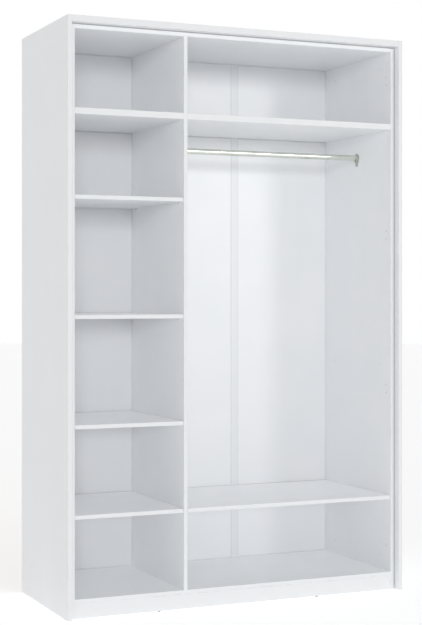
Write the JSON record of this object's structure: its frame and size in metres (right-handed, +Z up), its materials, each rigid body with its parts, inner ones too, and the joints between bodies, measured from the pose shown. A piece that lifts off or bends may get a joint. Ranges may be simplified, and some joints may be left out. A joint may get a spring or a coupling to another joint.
{
  "type": "wardrobe",
  "caption": "Tall open wardrobe in white board: narrow shelf bay beside a wide hanging bay with rail, inside a proud outer frame, on a plinth.",
  "frame": {"origin": "on the ground, in the middle of the footprint", "axes": "+X along the width to the viewer's right, the open front faces -Y, +Z up"},
  "size_m": [1.5, 0.6, 2.366],
  "materials": {
    "white_board": "melamine-faced chipboard with plastic edging, satin white",
    "back_board": "thin fibreboard, lacquered white on its inner face",
    "white_plastic": "white moulded or extruded plastic, satin",
    "rail_steel": "polished nickel-plated steel tube",
    "rail_bracket_metal": "nickel-plated zinc casting",
    "zinc_steel": "bright zinc-plated steel",
    "zinc_cast": "grey zinc casting",
    "dowel_wood": "fluted beech, unfinished",
    "support_plastic": "white moulded plastic",
    "spacer_plastic": "grey moulded plastic",
    "glide_plastic": "grey moulded plastic"
  },
  "bodies": {
    "wardrobe_body": {"outer_side_left": "white_board", "outer_side_right": "white_board", "outer_top": "white_board", "carcass_side_left": "white_board", "carcass_side_right": "white_board", "carcass_top": "white_board", "carcass_floor": "white_board", "divider": "white_board", "plinth_front": "white_board", "plinth_rear": "white_board", "plinth_bearer": "white_board", "top_shelf_left": "white_board", "top_shelf_right": "white_board", "back_panel_left": "back_board", "back_panel_middle": "back_board", "back_panel_right": "back_board", "back_joint_strip": "white_plastic", "rail_bracket_left": "rail_bracket_metal", "rail_bracket_right": "rail_bracket_metal", "rail_bracket_screws": "zinc_steel", "shelf_supports": "support_plastic", "confirmat_screws": "zinc_steel", "wood_dowels": "dowel_wood", "cam_discs": "zinc_cast", "cam_bolts": "zinc_steel", "back_panel_nails": "zinc_steel", "shell_spacers": "spacer_plastic", "shell_screws": "zinc_steel", "screw_caps": "white_plastic", "floor_glides": "glide_plastic", "wall_bracket_left": "zinc_steel", "wall_bracket_right": "zinc_steel", "wall_bracket_screws": "zinc_steel"},
    "shelf_left_bottom": {"shelf_left_bottom": "white_board"},
    "shelf_left_lower": {"shelf_left_lower": "white_board"},
    "shelf_left_middle": {"shelf_left_middle": "white_board"},
    "shelf_left_upper": {"shelf_left_upper": "white_board"},
    "shelf_right_bottom": {"shelf_right_bottom": "white_board"},
    "hanging_rail": {"hanging_rail": "rail_steel"}
  },
  "joints": [
    {"name": "shelf_left_bottom_draw_out", "type": "slide", "parent": "wardrobe_body", "child": "shelf_left_bottom", "axis": [0, -1, 0], "range_m": [0, 0.6]},
    {"name": "shelf_left_lower_draw_out", "type": "slide", "parent": "wardrobe_body", "child": "shelf_left_lower", "axis": [0, -1, 0], "range_m": [0, 0.6]},
    {"name": "shelf_left_middle_draw_out", "type": "slide", "parent": "wardrobe_body", "child": "shelf_left_middle", "axis": [0, -1, 0], "range_m": [0, 0.6]},
    {"name": "shelf_left_upper_draw_out", "type": "slide", "parent": "wardrobe_body", "child": "shelf_left_upper", "axis": [0, -1, 0], "range_m": [0, 0.6]},
    {"name": "shelf_right_bottom_draw_out", "type": "slide", "parent": "wardrobe_body", "child": "shelf_right_bottom", "axis": [0, -1, 0], "range_m": [0, 0.6]},
    {"name": "hanging_rail_lift", "type": "slide", "parent": "wardrobe_body", "child": "hanging_rail", "axis": [0, 0, 1], "range_m": [0, 0.04]}
  ]
}
